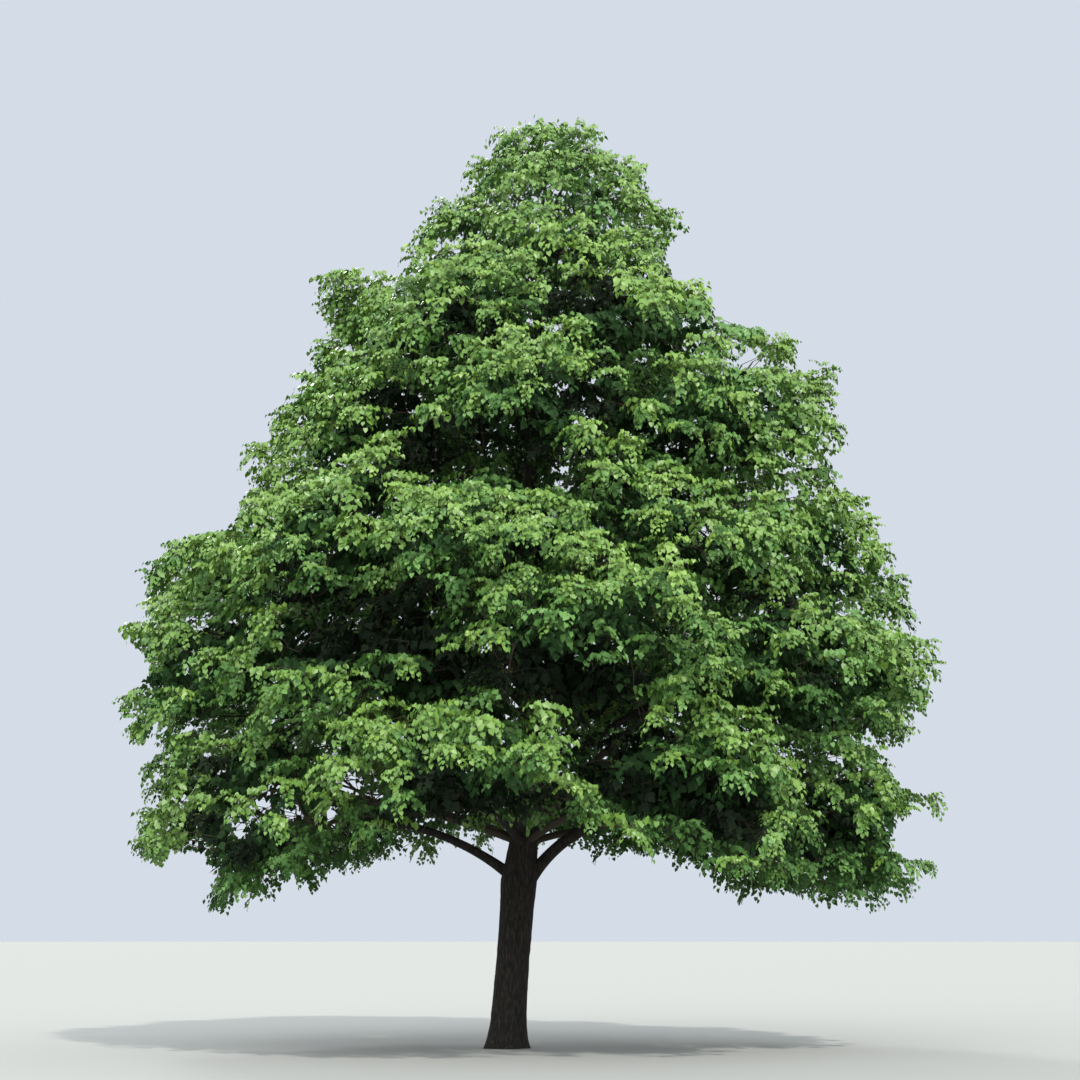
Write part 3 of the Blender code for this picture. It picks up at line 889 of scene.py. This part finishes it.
def face_sprays(c):
    """A branchlet that arches out of the crown and droops at its end, under
    a rounded tuft of sprays: a ring that spreads, and one that hangs."""
    axis = trunk_axis(min(c.point[2], TRUNK_TIP_Z))
    out = unit((c.point - axis) * np.array([1.0, 1.0, 0.0]) + 1e-6)
    flat = c.normal * np.array([1.0, 1.0, 0.0])
    turn = rng.normal(0, 0.30)
    heading = unit(0.55 * out + flat * 1.2)
    heading = unit(heading + np.array([-heading[1], heading[0], 0.0]) * turn)
    side = np.array([-heading[1], heading[0], 0.0])
    up = np.array([0.0, 0.0, 1.0])
    k = c.size
    top = max(c.normal[2], 0.0)
    proud = c.proud
    apex = c.point - c.normal * (0.13 - proud) - heading * 0.13 * k * (1 - 0.4 * top) + up * (0.05 - 0.04 * top)
    sag = rng.uniform(0.10, 0.18) * k
    c.pts = np.array(
        [
            apex - heading * 0.58 - up * (0.10 - 0.25 * top) + side * rng.normal(0, 0.06),
            apex - heading * 0.28 - up * 0.01,
            apex,
            apex + heading * 0.11 * k - up * 0.4 * sag,
            apex + heading * 0.19 * k - up * sag,
        ]
    )
    centre = masses[c.mass].centre
    if c.inward is not None:
        c.pts[0] = apex - c.normal * (c.inward + 0.35) - up * 0.05
        c.pts[1] = apex - c.normal * 0.5 * c.inward
    for j in (1, 0):
        if c.inward is None and envelope(c.pts[j])[0] > -0.06:
            c.pts[j] = c.pts[j + 1] + unit(centre - c.pts[j + 1]) * 0.30
    head = math.atan2(heading[1], heading[0])
    tint = rng.normal(0, 0.40)
    young = 0.5 * lumps(c.point, 2, 2.2)
    # leaves under the skirt, that face the trunk or the ground, are dealt the darker under-skirt greens: painted
    # shade
    under = min(1.0, max(0.0, -c.normal[2] * 1.2) + max(0.0, (3.9 - c.point[2] - 0.20 * np.hypot(c.point[0], c.point[1])) * 0.6))
    out_sprays = []

    def add(at, angle, lift, scale, painted_light_tone):
        s = Spray()
        x = float(np.clip(at, 0.0, 3.999))
        j = int(x)
        s.pos, s.at = c.pts[j] + (c.pts[j + 1] - c.pts[j]) * (x - j), x
        yaw = head + math.radians(angle)
        rise = math.radians(lift)
        aim(s, "face", [math.cos(yaw) * math.cos(rise), math.sin(yaw) * math.cos(rise), math.sin(rise)])
        s.roll, s.pitch = rng.normal(0, 0.16), rng.normal(0, 0.08)
        s.scale, s.mass = scale * k * rng.uniform(0.86, 1.14), c.mass
        # painted light and shade: the tone passed in is lower, a lighter green, on upward-facing tufts and in the
        # spreading ring, and higher, a darker green, in the hanging ring; tint and the young-leaf noise are the
        # leaves' own variety
        s.colour = int(np.clip(round(painted_light_tone + tint - young + rng.normal(0, 0.5)), 0, 5))
        # painted shade: sprays under the skirt take the darker greens
        if under > 0.0 and rng.random() < under:
            s.colour = 7 if rng.random() < 0.6 else 6
        out_sprays.append(s)

    more = 20.0 * top + (16.0 if c.point[2] > 12.2 else 0.0)
    hand = 1 if rng.random() < 0.5 else -1
    # spreading ring, dealt lighter greens as painted sunlight
    for i, angle in enumerate((98, -84, 62, -46, 24, -8)):
        at = (1.3, 1.6, 2.2, 2.6, 3.2, 3.6)[i]
        add(at, angle * hand + rng.uniform(-14, 14), 26 + more + rng.normal(0, 9), 0.98, 2.1 - 0.8 * top)
    # hanging ring, dealt darker greens as painted shade
    for i, angle in enumerate((-66, 40, -18, 72)):
        if i == 3 and k < 0.95:
            continue
        at = (2.6, 3.4, 3.9, 2.9)[i]
        add(at, angle * hand + rng.uniform(-16, 16), -22 + 1.4 * more + rng.normal(0, 9), 0.96, 3.0 - 0.8 * top)
    if c.point[2] > 9.0 and c.normal[2] > 0.45 or c.point[2] > 12.2:
        add(2.2, rng.uniform(-180, 180), 66, 0.9, 0.9)
    return out_sprays


def inner_sprays(c):
    """A short arching twig inside the crown, with sprays all round it."""
    axis = trunk_axis(min(c.point[2], TRUNK_TIP_Z))
    out_dir = unit((c.point - axis) * np.array([1.0, 1.0, 0.0]) + 1e-6)
    heading = unit(out_dir + np.append(rng.normal(0, 0.5, 2), 0.0))
    length = 0.55 if c.kind == "shade" else 0.85
    t = np.linspace(0, 1, 4)[:, None]
    c.pts = c.point + heading * (t - 0.5) * length + np.array([0, 0, 1.0]) * (0.15 - 0.5 * (t - 0.4) ** 2) * length
    count = 7 if c.kind == "shade" else 6
    # painted shade: near-black green at the back of the recesses, dark green for deep clumps, the under-skirt green
    # low down, and the plain shade-leaf green elsewhere
    green_with_painted_shade = 9 if behind_recess(c.point) else 8 if c.kind == "deep" else 7 if c.point[2] < 3.7 else 6
    out = []
    head = math.atan2(heading[1], heading[0])
    for i in range(count):
        s = Spray()
        u = (i + 0.5) / count * 3.0
        k = min(int(u), 2)
        s.pos, s.at = c.pts[k] + (c.pts[k + 1] - c.pts[k]) * (u - k), u
        yaw = head + (1 if i % 2 else -1) * math.radians(rng.uniform(15, 95))
        lift = rng.uniform(-0.35, 0.75)
        aim(s, c.kind, [math.cos(yaw), math.sin(yaw), lift])
        s.roll, s.pitch, s.scale, s.mass = rng.normal(0, 0.25), rng.normal(0, 0.15), rng.uniform(0.85, 1.15), c.mass
        s.colour = green_with_painted_shade
        out.append(s)
    return out


def keep_inside(s, limit):
    """Cuts back a spray that would stand out of the crown."""
    shape = spray_kinds[s.kind][4]
    tip, mid = turned(s, shape[[8, 5]])
    d = max(envelope(tip)[0], envelope(mid)[0] + 0.02)
    if d > limit:
        s.scale *= max(0.60, 1.0 - (d - limit) / SPRAY_LENGTH)
        tip, mid = turned(s, shape[[8, 5]])
        if envelope(tip)[0] > limit + 0.06:
            return False
    if s.kind[0] != "face" and not shut_in(tip):
        return False
    margin = 0.08 if s.kind[0] == "deep" else 0.03
    return not any(in_recess(p, -0.07) or in_hole(p, margin) for p in (tip, mid, s.pos))


def rotations(group):
    yaw = np.array([s.yaw for s in group])
    roll = np.array([s.roll for s in group])
    pitch = np.array([s.pitch for s in group])
    cy, sy, cr, sr, cp, sp = np.cos(yaw), np.sin(yaw), np.cos(roll), np.sin(roll), np.cos(pitch), np.sin(pitch)
    zero, one = np.zeros_like(yaw), np.ones_like(yaw)
    rz = np.stack([np.stack([cy, -sy, zero], 1), np.stack([sy, cy, zero], 1), np.stack([zero, zero, one], 1)], 1)
    rx = np.stack([np.stack([one, zero, zero], 1), np.stack([zero, cr, -sr], 1), np.stack([zero, sr, cr], 1)], 1)
    ry = np.stack([np.stack([cp, zero, sp], 1), np.stack([zero, one, zero], 1), np.stack([-sp, zero, cp], 1)], 1)
    return rz @ ry @ rx


clumps, sprays = [], []
for c in place_clumps():
    if c.kind == "face":
        kept = [s for s in face_sprays(c) if keep_inside(s, c.limit)]
    else:
        limit = 1.2 if c.core else -0.16 if c.kind == "shade" else -0.34
        kept = [s for s in inner_sprays(c) if keep_inside(s, limit)]
    if len(kept) >= (5 if c.kind == "face" else 2):
        c.outer = c.kind == "face"
        c.reach = max(s.at for s in kept)
        clumps.append(c)
        sprays.extend(kept)
for kind in ("face", "shade", "deep"):
    print(kind, "clumps", sum(c.kind == kind for c in clumps), "sprays", sum(s.kind[0] == kind for s in sprays))


def set_out(group):
    """Leaf and twig arrays of a group of sprays."""
    leaves, twigs, shades = [], [], []
    by_kind = {}
    for s in group:
        by_kind.setdefault(s.kind, []).append(s)
    for kind, members in sorted(by_kind.items()):
        lv, lt, wv, wt, _ = spray_kinds[kind]
        rot = rotations(members)
        scale = np.array([s.scale for s in members])
        pos = np.array([s.pos for s in members])
        v = np.einsum("nij,vj->nvi", rot, lv) * scale[:, None, None] + pos[:, None, :]
        t = lt[None] + (np.arange(len(members)) * len(lv))[:, None, None]
        leaves.append((v.reshape(-1, 3), t.reshape(-1, 3)))
        shades.append(np.repeat([s.colour for s in members], len(lt)))
        v = np.einsum("nij,vj->nvi", rot, wv) * scale[:, None, None] + pos[:, None, :]
        t = wt[None] + (np.arange(len(members)) * len(wv))[:, None, None]
        twigs.append((v.reshape(-1, 3), t.reshape(-1, 3)))
    return join(leaves), join(twigs), np.concatenate(shades)


# ----------------------------------------------------------------------------
# limbs inside the crown: each clump joined on to the nearest wood
# ----------------------------------------------------------------------------
def bezier(p0, p1, p2, n):
    t = np.linspace(0, 1, n)[:, None]
    return (1 - t) ** 2 * p0 + 2 * t * (1 - t) * p1 + t**2 * p2


def bough_curve(short, start_z, out_share, rise, n):
    m = next(m for m in masses if m.short == short)
    p0 = trunk_axis(start_z)
    if short.startswith("skirt"):
        out = unit(m.centre * np.array([1.0, 1.0, 0.0]))
        p2 = out * SKIRT_ENTRY[0]
        p2[2] = SKIRT_ENTRY[1]
    else:
        flat = m.centre - p0
        p2 = p0 + flat * 0.80
        p2[2] = m.centre[2]
    flat = (p2 - p0) * np.array([1.0, 1.0, 0.0])
    lift = rise * (p2[2] - p0[2]) + 0.06 * np.linalg.norm(flat)
    return bezier(p0, p0 + flat * out_share + np.array([0, 0, lift]), p2, n)


bough_of = {}
for short, radius, start_z, out_share, rise in BOUGHS:
    bough_of[short] = (bough_curve(short, start_z, out_share, rise, 22), radius)


def covered(p):
    """Whether a point has leaves above it and on most of its sides."""
    v = Vector(p)
    if whole_bvh.ray_cast(v, Vector((0, 0, 1)), 13.0)[0] is None:
        return False
    sides = ((1, 0, 0), (-1, 0, 0), (0, 1, 0), (0, -1, 0))
    return sum(whole_bvh.ray_cast(v, Vector(r), 13.0)[0] is not None for r in sides) >= 3


def bare(line):
    """Whether a limb would show outside the leaves."""
    return any(not covered(p) or in_bay(p) for p in (line[0] * 0.5 + line[1] * 0.5, line[len(line) // 2], line[-1] * 0.5 + line[-2] * 0.5))


def grow_limbs():
    """For each mass, a branching set of limbs from its bough, or from the
    trunk, to the foot of every clump in it."""
    segments = []  # (points, start radius, end radius)
    for mi, m in enumerate(masses):
        mine = [c for c in clumps if c.mass == mi]
        if not mine:
            continue
        if m.short in bough_of:
            path, radius = bough_of[m.short]
            root, lead = path[-1], unit(path[-1] - path[-3])
            root_r = radius * 0.62
            stem = None
        else:
            z = max(2.9, min(m.centre[2] - 0.55 * math.hypot(m.centre[0], m.centre[1]) - 0.1, TRUNK_TIP_Z - 0.4))
            start = trunk_axis(z)
            flat = (m.centre - start) * np.array([1, 1, 0])
            root = m.centre - flat * 0.35
            if m.short == "top":
                start = trunk_axis(TRUNK_TIP_Z - 0.15)
                root = start + (m.centre - start) * 0.35
            lift = 0.6 * (root[2] - start[2])
            stem = bezier(start, start + flat * 0.25 + np.array([0, 0, lift]), root, 9)
            lead = unit(stem[-1] - stem[-3])
            root_r = 0.0
        nodes = [dict(p=root, d=lead, parent=-1, path=0.0, load=0)]
        todo = sorted(mine, key=lambda c: float(np.linalg.norm(c.pts[0] - root)))
        ends = []
        for c in todo:
            foot = c.pts[0]
            best, who = 1e9, 0
            for k, nd in enumerate(nodes):
                gap = foot - nd["p"]
                d = float(np.linalg.norm(gap))
                if d < 1e-6:
                    continue
                turn = 1.0 - float(gap @ nd["d"]) / d
                cost = d * (1.0 + 0.45 * turn) + 0.22 * nd["path"]
                if cost < best:
                    best, who = cost, k
            nd = nodes[who]
            gap = foot - nd["p"]
            d = float(np.linalg.norm(gap))
            mid = nd["p"] + gap * 0.5 + np.array([0, 0, 0.05 * d]) + rng.normal(0, 0.05 * d, 3)
            start_dir = nd["d"]
            ctrl = nd["p"] + start_dir * d * 0.30
            mid = 0.5 * mid + 0.5 * (ctrl + gap * 0.25)
            for _ in range(3):
                if envelope(mid)[0] < -0.10:
                    break
                mid = mid + (m.centre - mid) * 0.25
            nodes.append(dict(p=mid, d=unit(gap), parent=who, path=nd["path"] + 0.5 * d, load=0))
            nodes.append(dict(p=foot, d=unit(gap), parent=len(nodes) - 1, path=nd["path"] + d, load=1 if c.outer else 0.6))
            ends.append(len(nodes) - 1)
        for k in range(len(nodes) - 1, 0, -1):
            nodes[nodes[k]["parent"]]["load"] += nodes[k]["load"]
        total = nodes[0]["load"]

        def thick(load):
            return 0.0062 * max(load, 0.6) ** 0.47

        for k in range(1, len(nodes)):
            nd, up = nodes[k], nodes[nodes[k]["parent"]]
            r1 = thick(nd["load"])
            r0 = min(thick(up["load"]), r1 * 1.25)
            d = float(np.linalg.norm(nd["p"] - up["p"]))
            ctrl = up["p"] + up["d"] * d * 0.35
            count = 4 if r1 > 0.011 else 3
            line = bezier(up["p"], 0.6 * ctrl + 0.4 * (up["p"] + nd["p"]) / 2, nd["p"], count)
            bow = (up["p"] + nd["p"]) / 2
            for _ in range(3):
                if not bare(line):
                    break
                line = bezier(up["p"], bow, nd["p"], count)
                bow = bow + (m.centre - bow) * 0.35
            if bare(line) and r1 < 0.012:
                continue
            segments.append((line, r0, r1))
        if stem is not None:
            r1 = thick(total)
            segments.append((stem, r1 * 1.5, r1))
        for c in mine:
            if c.outer and any(in_bay(p) for p in c.pts):
                continue
            stops = np.linspace(0.0, c.reach, 4 if c.outer else 3)
            line = np.stack([np.interp(stops, np.arange(len(c.pts)), c.pts[:, k]) for k in range(3)], axis=1)
            segments.append((line, thick(1.0), 0.0028))
    return segments


limb_parts = []
for pts, r0, r1 in grow_limbs():
    sides = 6 if max(r0, r1) > 0.022 else 4 if max(r0, r1) > 0.010 else 3
    limb_parts.append(tube(pts, np.linspace(r0, r1, len(pts)), sides))
limb_verts, limb_tris = join(limb_parts)
print("limb triangles", len(limb_tris))


# ----------------------------------------------------------------------------
# leaves and twigs in pieces, each standing for the masses it fills
# ----------------------------------------------------------------------------
GROUPS = ("skirt", "lower", "middle", "waist", "upper", "crown")


def group_of(short):
    tier = short.split("_")[0]
    return tier if tier in GROUPS else "crown"


pieces = []
by_group = {}
for s in sprays:
    by_group.setdefault(group_of(masses[s.mass].short), []).append(s)

total = 0
twig_parts = []
for tier in GROUPS:
    members = by_group[tier]
    ids = sorted({s.mass for s in members})
    weight = {i: 0 for i in ids}
    for s in members:
        weight[s.mass] += len(spray_kinds[s.kind][1])
    packs, pack, load = [], [], 0
    for i in ids:
        if load + weight[i] > TRI_LIMIT and pack:
            packs.append(pack)
            pack, load = [], 0
        pack.append(i)
        load += weight[i]
    packs.append(pack)
    for k, pack in enumerate(packs):
        chosen = [s for s in members if s.mass in pack]
        (lv, lt), (wv, wt), shade = set_out(chosen)
        name = f"leaves_{tier}" + (f"_{k + 1}" if len(packs) > 1 else "")
        ob = make_mesh(name, lv, lt, leaf_mats, shade)
        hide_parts(*[masses[i].name for i in pack])
        twig_parts.append((wv, wt))
        total += len(lt)
        print(name, "triangles", len(lt))

twv, twt = join(twig_parts)
print("leaf triangles", total, "twig triangles", len(twt))
cut = len(twt) if len(twt) < TRI_LIMIT else len(twt) // 2
half_tris = twt[:cut]
used = half_tris.max() + 1
ob = make_mesh("twigs_low", twv[:used], half_tris, [twig_mat])
if cut < len(twt):
    rest = twt[cut:]
    base = rest.min()
    ob = make_mesh("twigs_high", twv[base:], rest - base, [twig_mat])


# ----------------------------------------------------------------------------
# bark
# ----------------------------------------------------------------------------
def bark_material():
    mat = bpy.data.materials.new("linden_bark_painted_shade")
    mat.use_nodes = True
    nt = mat.node_tree
    shader = nt.nodes["Principled BSDF"]
    shader.inputs["Roughness"].default_value = 0.9
    shader.inputs["Specular IOR Level"].default_value = 0.25
    coord = nt.nodes.new("ShaderNodeTexCoord")
    mapping = nt.nodes.new("ShaderNodeMapping")
    mapping.inputs["Scale"].default_value = (1.0, 1.0, 0.22)
    nt.links.new(coord.outputs["Object"], mapping.inputs["Vector"])
    fine = nt.nodes.new("ShaderNodeTexNoise")
    fine.inputs["Scale"].default_value = 38.0
    fine.inputs["Detail"].default_value = 8.0
    fine.inputs["Roughness"].default_value = 0.65
    nt.links.new(mapping.outputs["Vector"], fine.inputs["Vector"])
    # painted shade: the bark colours are darkened well below the bark's own colour to stand in for the shade of the
    # crown over the trunk and boughs; the noise spread is the bark's own grain
    ramp = nt.nodes.new("ShaderNodeValToRGB")
    ramp.color_ramp.elements[0].position = 0.34
    ramp.color_ramp.elements[0].color = (0.008, 0.007, 0.006, 1)
    ramp.color_ramp.elements[1].position = 0.68
    ramp.color_ramp.elements[1].color = (0.048, 0.041, 0.034, 1)
    e = ramp.color_ramp.elements.new(0.50)
    e.color = (0.021, 0.018, 0.015, 1)
    nt.links.new(fine.outputs["Fac"], ramp.inputs["Fac"])
    nt.links.new(ramp.outputs["Color"], shader.inputs["Base Color"])
    bump = nt.nodes.new("ShaderNodeBump")
    bump.inputs["Strength"].default_value = 0.8
    bump.inputs["Distance"].default_value = 0.012
    nt.links.new(fine.outputs["Fac"], bump.inputs["Height"])
    nt.links.new(bump.outputs["Normal"], shader.inputs["Normal"])
    return mat


bark = bark_material()


def value_noise(u, v, nu, seed):
    """Smooth noise over the unrolled trunk that closes on itself round it."""
    r = np.random.default_rng(seed)
    nv = 400
    table = r.random((nv, nu))
    x, y = u * nu, v
    i, j = np.floor(x).astype(int), np.floor(y).astype(int)
    fx, fy = x - i, y - j
    fx, fy = fx * fx * (3 - 2 * fx), fy * fy * (3 - 2 * fy)
    a = table[j % nv, i % nu]
    b = table[j % nv, (i + 1) % nu]
    c = table[(j + 1) % nv, i % nu]
    d = table[(j + 1) % nv, (i + 1) % nu]
    return (a * (1 - fx) + b * fx) * (1 - fy) + (c * (1 - fx) + d * fx) * fy


def bark_relief(u, s, girth):
    """Height of the bark from -1 to 1: long, interlacing upright ridges."""
    warp = 0.030 * (value_noise(u, s * 3.0, 9, 5) - 0.5)
    ridges = value_noise(u + warp, s * 5.5, max(int(girth / 0.042), 6), 11)
    fine = value_noise(u + 0.5 * warp, s * 13.0, max(int(girth / 0.020), 8), 23)
    coarse = value_noise(u, s * 1.1, 7, 37)
    h = 1.0 - np.abs(2.0 * ridges - 1.0) * 1.6
    return np.clip(h, -1, 1) * 0.62 + (fine - 0.5) * 0.6 + (coarse - 0.5) * 0.4


def trunk_section(z0, z1, rings, sides, relief):
    z = np.linspace(z0, z1, rings)
    a = np.linspace(0, 2 * math.pi, sides, endpoint=False)
    zz, aa = np.meshgrid(z, a, indexing="ij")
    centre = trunk_axis(z)
    radius = trunk_radius(z)[:, None]
    lobe = 0.5 + 0.5 * np.cos(FLARE_LOBES * aa + 0.7)
    flare = 1 + FLARE_DEPTH * lobe * np.exp(-zz / FLARE_HEIGHT)
    flute = 1 + 0.025 * np.sin(3 * aa + 0.8 * zz) * (zz < 4.0)
    h = bark_relief(aa / (2 * math.pi), zz, 1.5)
    r = radius * flare * flute + relief * h * np.minimum(radius / 0.24, 1.0)
    v = np.stack([centre[:, None, 0] + r * np.cos(aa), centre[:, None, 1] + r * np.sin(aa), zz], axis=-1)
    idx = np.arange(rings * sides).reshape(rings, sides)
    p, q = idx[:-1], np.roll(idx, -1, axis=1)[:-1]
    s, t = idx[1:], np.roll(idx, -1, axis=1)[1:]
    tris = np.concatenate([np.stack([p, q, t], -1).reshape(-1, 3), np.stack([p, t, s], -1).reshape(-1, 3)])
    return v.reshape(-1, 3), tris


low = trunk_section(0.0, 3.6, 150, 84, 0.0085)
high = trunk_section(3.58, TRUNK_TIP_Z, 70, 20, 0.004)
foot = np.append(low[0][:84].mean(0)[:2], 0.0)
cap = (np.vstack([low[0][:84], foot]), np.array([(k, 84, (k + 1) % 84) for k in range(84)])[:, ::-1])
tip_v = high[0][-20:]
tipcap = (np.vstack([tip_v, tip_v.mean(0)]), np.array([(k, (k + 1) % 20, 20) for k in range(20)]))
tv, tt = join([low, high, cap, tipcap])
ob = make_mesh("trunk_bark", tv, tt, [bark])
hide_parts("trunk")

parts = []
names = []
for short, radius, start_z, out_share, rise in BOUGHS:
    path = bough_curve(short, start_z, out_share, rise, 40)
    t = np.linspace(0, 1, 40)
    r = radius * (1 - 0.38 * t) * (1 + 0.45 * np.exp(-t * 9.0))
    sides = 18 if short in ("skirt_3", "skirt_7") else 12
    v, tr = tube(path, r, sides)
    ring = v.reshape(40, sides, 3)
    a = np.arange(sides) / sides
    uu, ss = np.meshgrid(a, np.cumsum(np.full(40, np.linalg.norm(path[-1] - path[0]) / 40)), indexing="xy")
    h = bark_relief(uu, ss, 0.5)
    ring = path[:, None, :] + (ring - path[:, None, :]) * (1 + 0.05 * h[:, :, None])
    parts.append((ring.reshape(-1, 3), tr))
    names.append("bough_" + short)
bv, bt = join(parts)
ob = make_mesh("boughs_bark", bv, bt, [bark])
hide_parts(*names)
ob = make_mesh("limbs", limb_verts, limb_tris, [twig_mat])


# ----------------------------------------------------------------------------
# floor, light and camera
# ----------------------------------------------------------------------------
def stage():
    bpy.ops.mesh.primitive_circle_add(vertices=96, radius=900.0, fill_type="NGON", location=(0, 0, -0.001))
    floor = bpy.context.active_object
    floor.name = "floor"
    floor.data.materials.append(principled("floor_pale", (0.37, 0.37, 0.355), 0.9, 0.2))

    world = bpy.data.worlds.new("studio")
    bpy.context.scene.world = world
    world.use_nodes = True
    nt = world.node_tree
    light = nt.nodes["Background"]
    light.inputs["Color"].default_value = (0.86, 0.93, 0.97, 1.0)
    light.inputs["Strength"].default_value = 1.2
    back = nt.nodes.new("ShaderNodeBackground")
    back.inputs["Color"].default_value = (0.66, 0.72, 0.80, 1.0)
    back.inputs["Strength"].default_value = 1.0
    path = nt.nodes.new("ShaderNodeLightPath")
    mix = nt.nodes.new("ShaderNodeMixShader")
    nt.links.new(path.outputs["Is Camera Ray"], mix.inputs["Fac"])
    nt.links.new(light.outputs["Background"], mix.inputs[1])
    nt.links.new(back.outputs["Background"], mix.inputs[2])
    nt.links.new(mix.outputs["Shader"], nt.nodes["World Output"].inputs["Surface"])
    bpy.context.scene.view_settings.view_transform = "Standard"

    def sun(name, az, el, energy, angle, colour):
        data = bpy.data.lights.new(name, "SUN")
        data.energy, data.angle, data.color = energy, math.radians(angle), colour
        ob = bpy.data.objects.new(name, data)
        a, e = math.radians(az), math.radians(el)
        away = Vector((math.sin(a) * math.cos(e), -math.cos(a) * math.cos(e), math.sin(e)))
        ob.rotation_mode = "QUATERNION"
        ob.rotation_quaternion = away.to_track_quat("Z", "Y")
        ob.location = away * 30.0
        bpy.context.scene.collection.objects.link(ob)

    sun("key", 22.0, 47.0, 2.4, 1.5, (1.0, 0.97, 0.90))
    sun("front_fill", -20.0, 34.0, 1.0, 45.0, (0.95, 0.98, 1.0))
    sun("back_fill", 200.0, 38.0, 1.0, 12.0, (0.95, 0.97, 1.0))

    cam = bpy.data.cameras.new("camera")
    cam.lens, cam.sensor_width = 70.0, 36.0
    cam.clip_end = 3000.0
    ob = bpy.data.objects.new("camera", cam)
    ob.location = (0.4877, -30.9535, 1.5503)
    ob.rotation_euler = (math.radians(90 + 10.7316), 0.0, 0.0)
    bpy.context.scene.collection.objects.link(ob)
    bpy.context.scene.camera = ob


stage()
